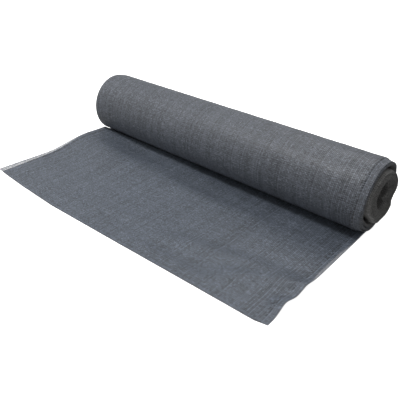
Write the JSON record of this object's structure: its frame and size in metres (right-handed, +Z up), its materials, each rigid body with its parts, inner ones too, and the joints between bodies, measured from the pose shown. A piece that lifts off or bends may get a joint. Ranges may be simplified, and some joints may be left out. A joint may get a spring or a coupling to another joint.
{
  "type": "roll of shade cloth with a loose end",
  "caption": "Roll of dark grey knitted shade cloth on its side, hollow along its middle, with its loose end laid out flat in front, for shading and screening.",
  "frame": {"origin": "on the floor, in the middle of the roll's flat spot, straight under its axis and half way along the cloth's width", "axes": "+X along the roll's axis towards the end whose inner turns stand out, +Y towards the back of the roll, away from the loose end, +Z up"},
  "size_m": [1.026, 0.6021, 0.2041],
  "materials": {
    "wound_cloth": "knitted flat plastic yarn, faint sheen",
    "loose_cloth": "knitted flat plastic yarn, faint sheen"
  },
  "bodies": {
    "root": {"wound_roll": "wound_cloth", "loose_end": "loose_cloth"}
  },
  "joints": []
}
